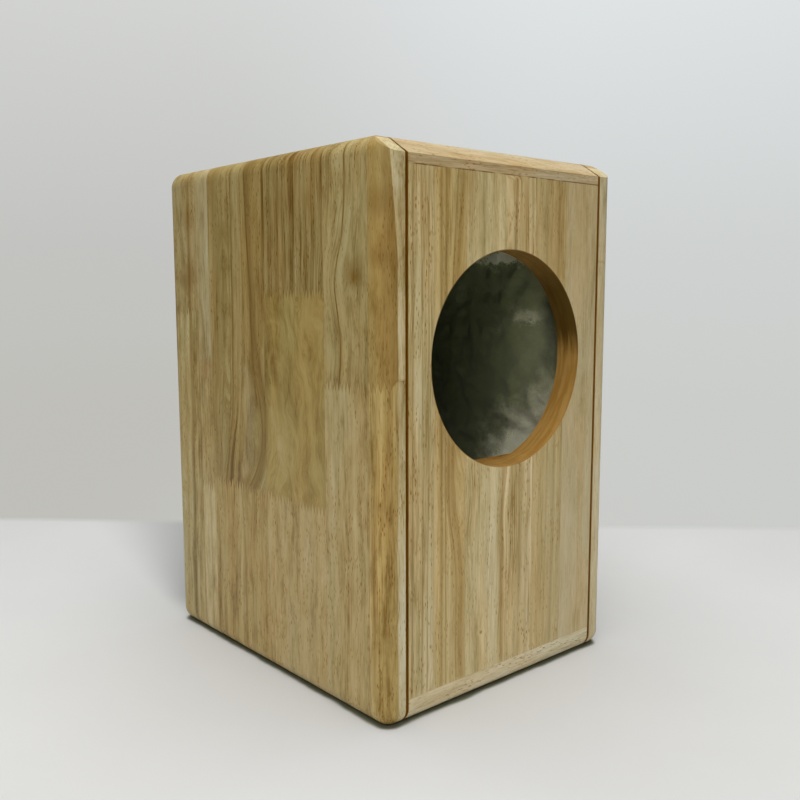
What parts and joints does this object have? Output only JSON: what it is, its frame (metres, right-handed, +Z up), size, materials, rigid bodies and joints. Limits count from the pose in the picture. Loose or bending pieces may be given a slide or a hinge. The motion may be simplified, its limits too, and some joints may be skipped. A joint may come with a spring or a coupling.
{
  "type": "loudspeaker cabinet",
  "caption": "Empty bookshelf loudspeaker cabinet: rounded hardwood box with a round driver cut-out in the front, wadding inside, a rear port and recessed screw terminals.",
  "frame": {"origin": "bottom centre of the wooden box, on the surface that it stands on", "axes": "+Z up, the front baffle faces -Y, the terminals face +Y, +X is to the right when seen from the front"},
  "size_m": [0.236, 0.286, 0.39],
  "materials": {
    "side_board": "satin",
    "core_board": "satin",
    "brace_wood": "matte",
    "dowel_wood": "matte",
    "wadding": "matte",
    "port_plastic": "satin",
    "cup_plastic": "satin",
    "gasket_foam": "matte",
    "screw_steel": "satin",
    "plated_brass": "polished",
    "plated_steel": "satin",
    "red_plastic": "gloss",
    "black_plastic": "gloss"
  },
  "bodies": {
    "cabinet": {"left_side_panel": "side_board", "right_side_panel": "side_board", "top_panel": "core_board", "bottom_panel": "core_board", "front_baffle": "core_board", "rear_panel": "core_board", "front_brace": "brace_wood", "panel_dowels": "dowel_wood", "left_wadding": "wadding", "right_wadding": "wadding", "top_wadding": "wadding", "bottom_wadding": "wadding", "rear_wadding": "wadding", "port_tube": "port_plastic", "port_screws": "screw_steel", "terminal_cup": "cup_plastic", "cup_gasket": "gasket_foam", "cup_screws": "screw_steel", "red_stud": "plated_brass", "red_collar": "red_plastic", "red_nut": "plated_steel", "red_solder_tag": "plated_brass", "black_stud": "plated_brass", "black_collar": "black_plastic", "black_nut": "plated_steel", "black_solder_tag": "plated_brass"},
    "red_washer_body": {"red_washer": "plated_steel"},
    "red_cap_body": {"red_cap": "red_plastic", "red_cap_insert": "plated_brass"},
    "black_washer_body": {"black_washer": "plated_steel"},
    "black_cap_body": {"black_cap": "black_plastic", "black_cap_insert": "plated_brass"}
  },
  "joints": [
    {"name": "red_cap_travel", "type": "slide", "parent": "cabinet", "child": "red_washer_body", "axis": [0, 1, 0], "range_m": [0, 0.004]},
    {"name": "red_cap_turn", "type": "hinge", "parent": "red_washer_body", "child": "red_cap_body", "pos_m": [0.019, 0.11, 0.11], "axis": [0, 1, 0], "range_deg": [0, 1440]},
    {"name": "black_cap_travel", "type": "slide", "parent": "cabinet", "child": "black_washer_body", "axis": [0, 1, 0], "range_m": [0, 0.004]},
    {"name": "black_cap_turn", "type": "hinge", "parent": "black_washer_body", "child": "black_cap_body", "pos_m": [-0.019, 0.11, 0.11], "axis": [0, 1, 0], "range_deg": [0, 1440]}
  ],
  "couplings": [
    {"joint": "red_cap_travel", "follows": "red_cap_turn", "m_per_rad": 0.00015915},
    {"joint": "black_cap_travel", "follows": "black_cap_turn", "m_per_rad": 0.00015915}
  ]
}
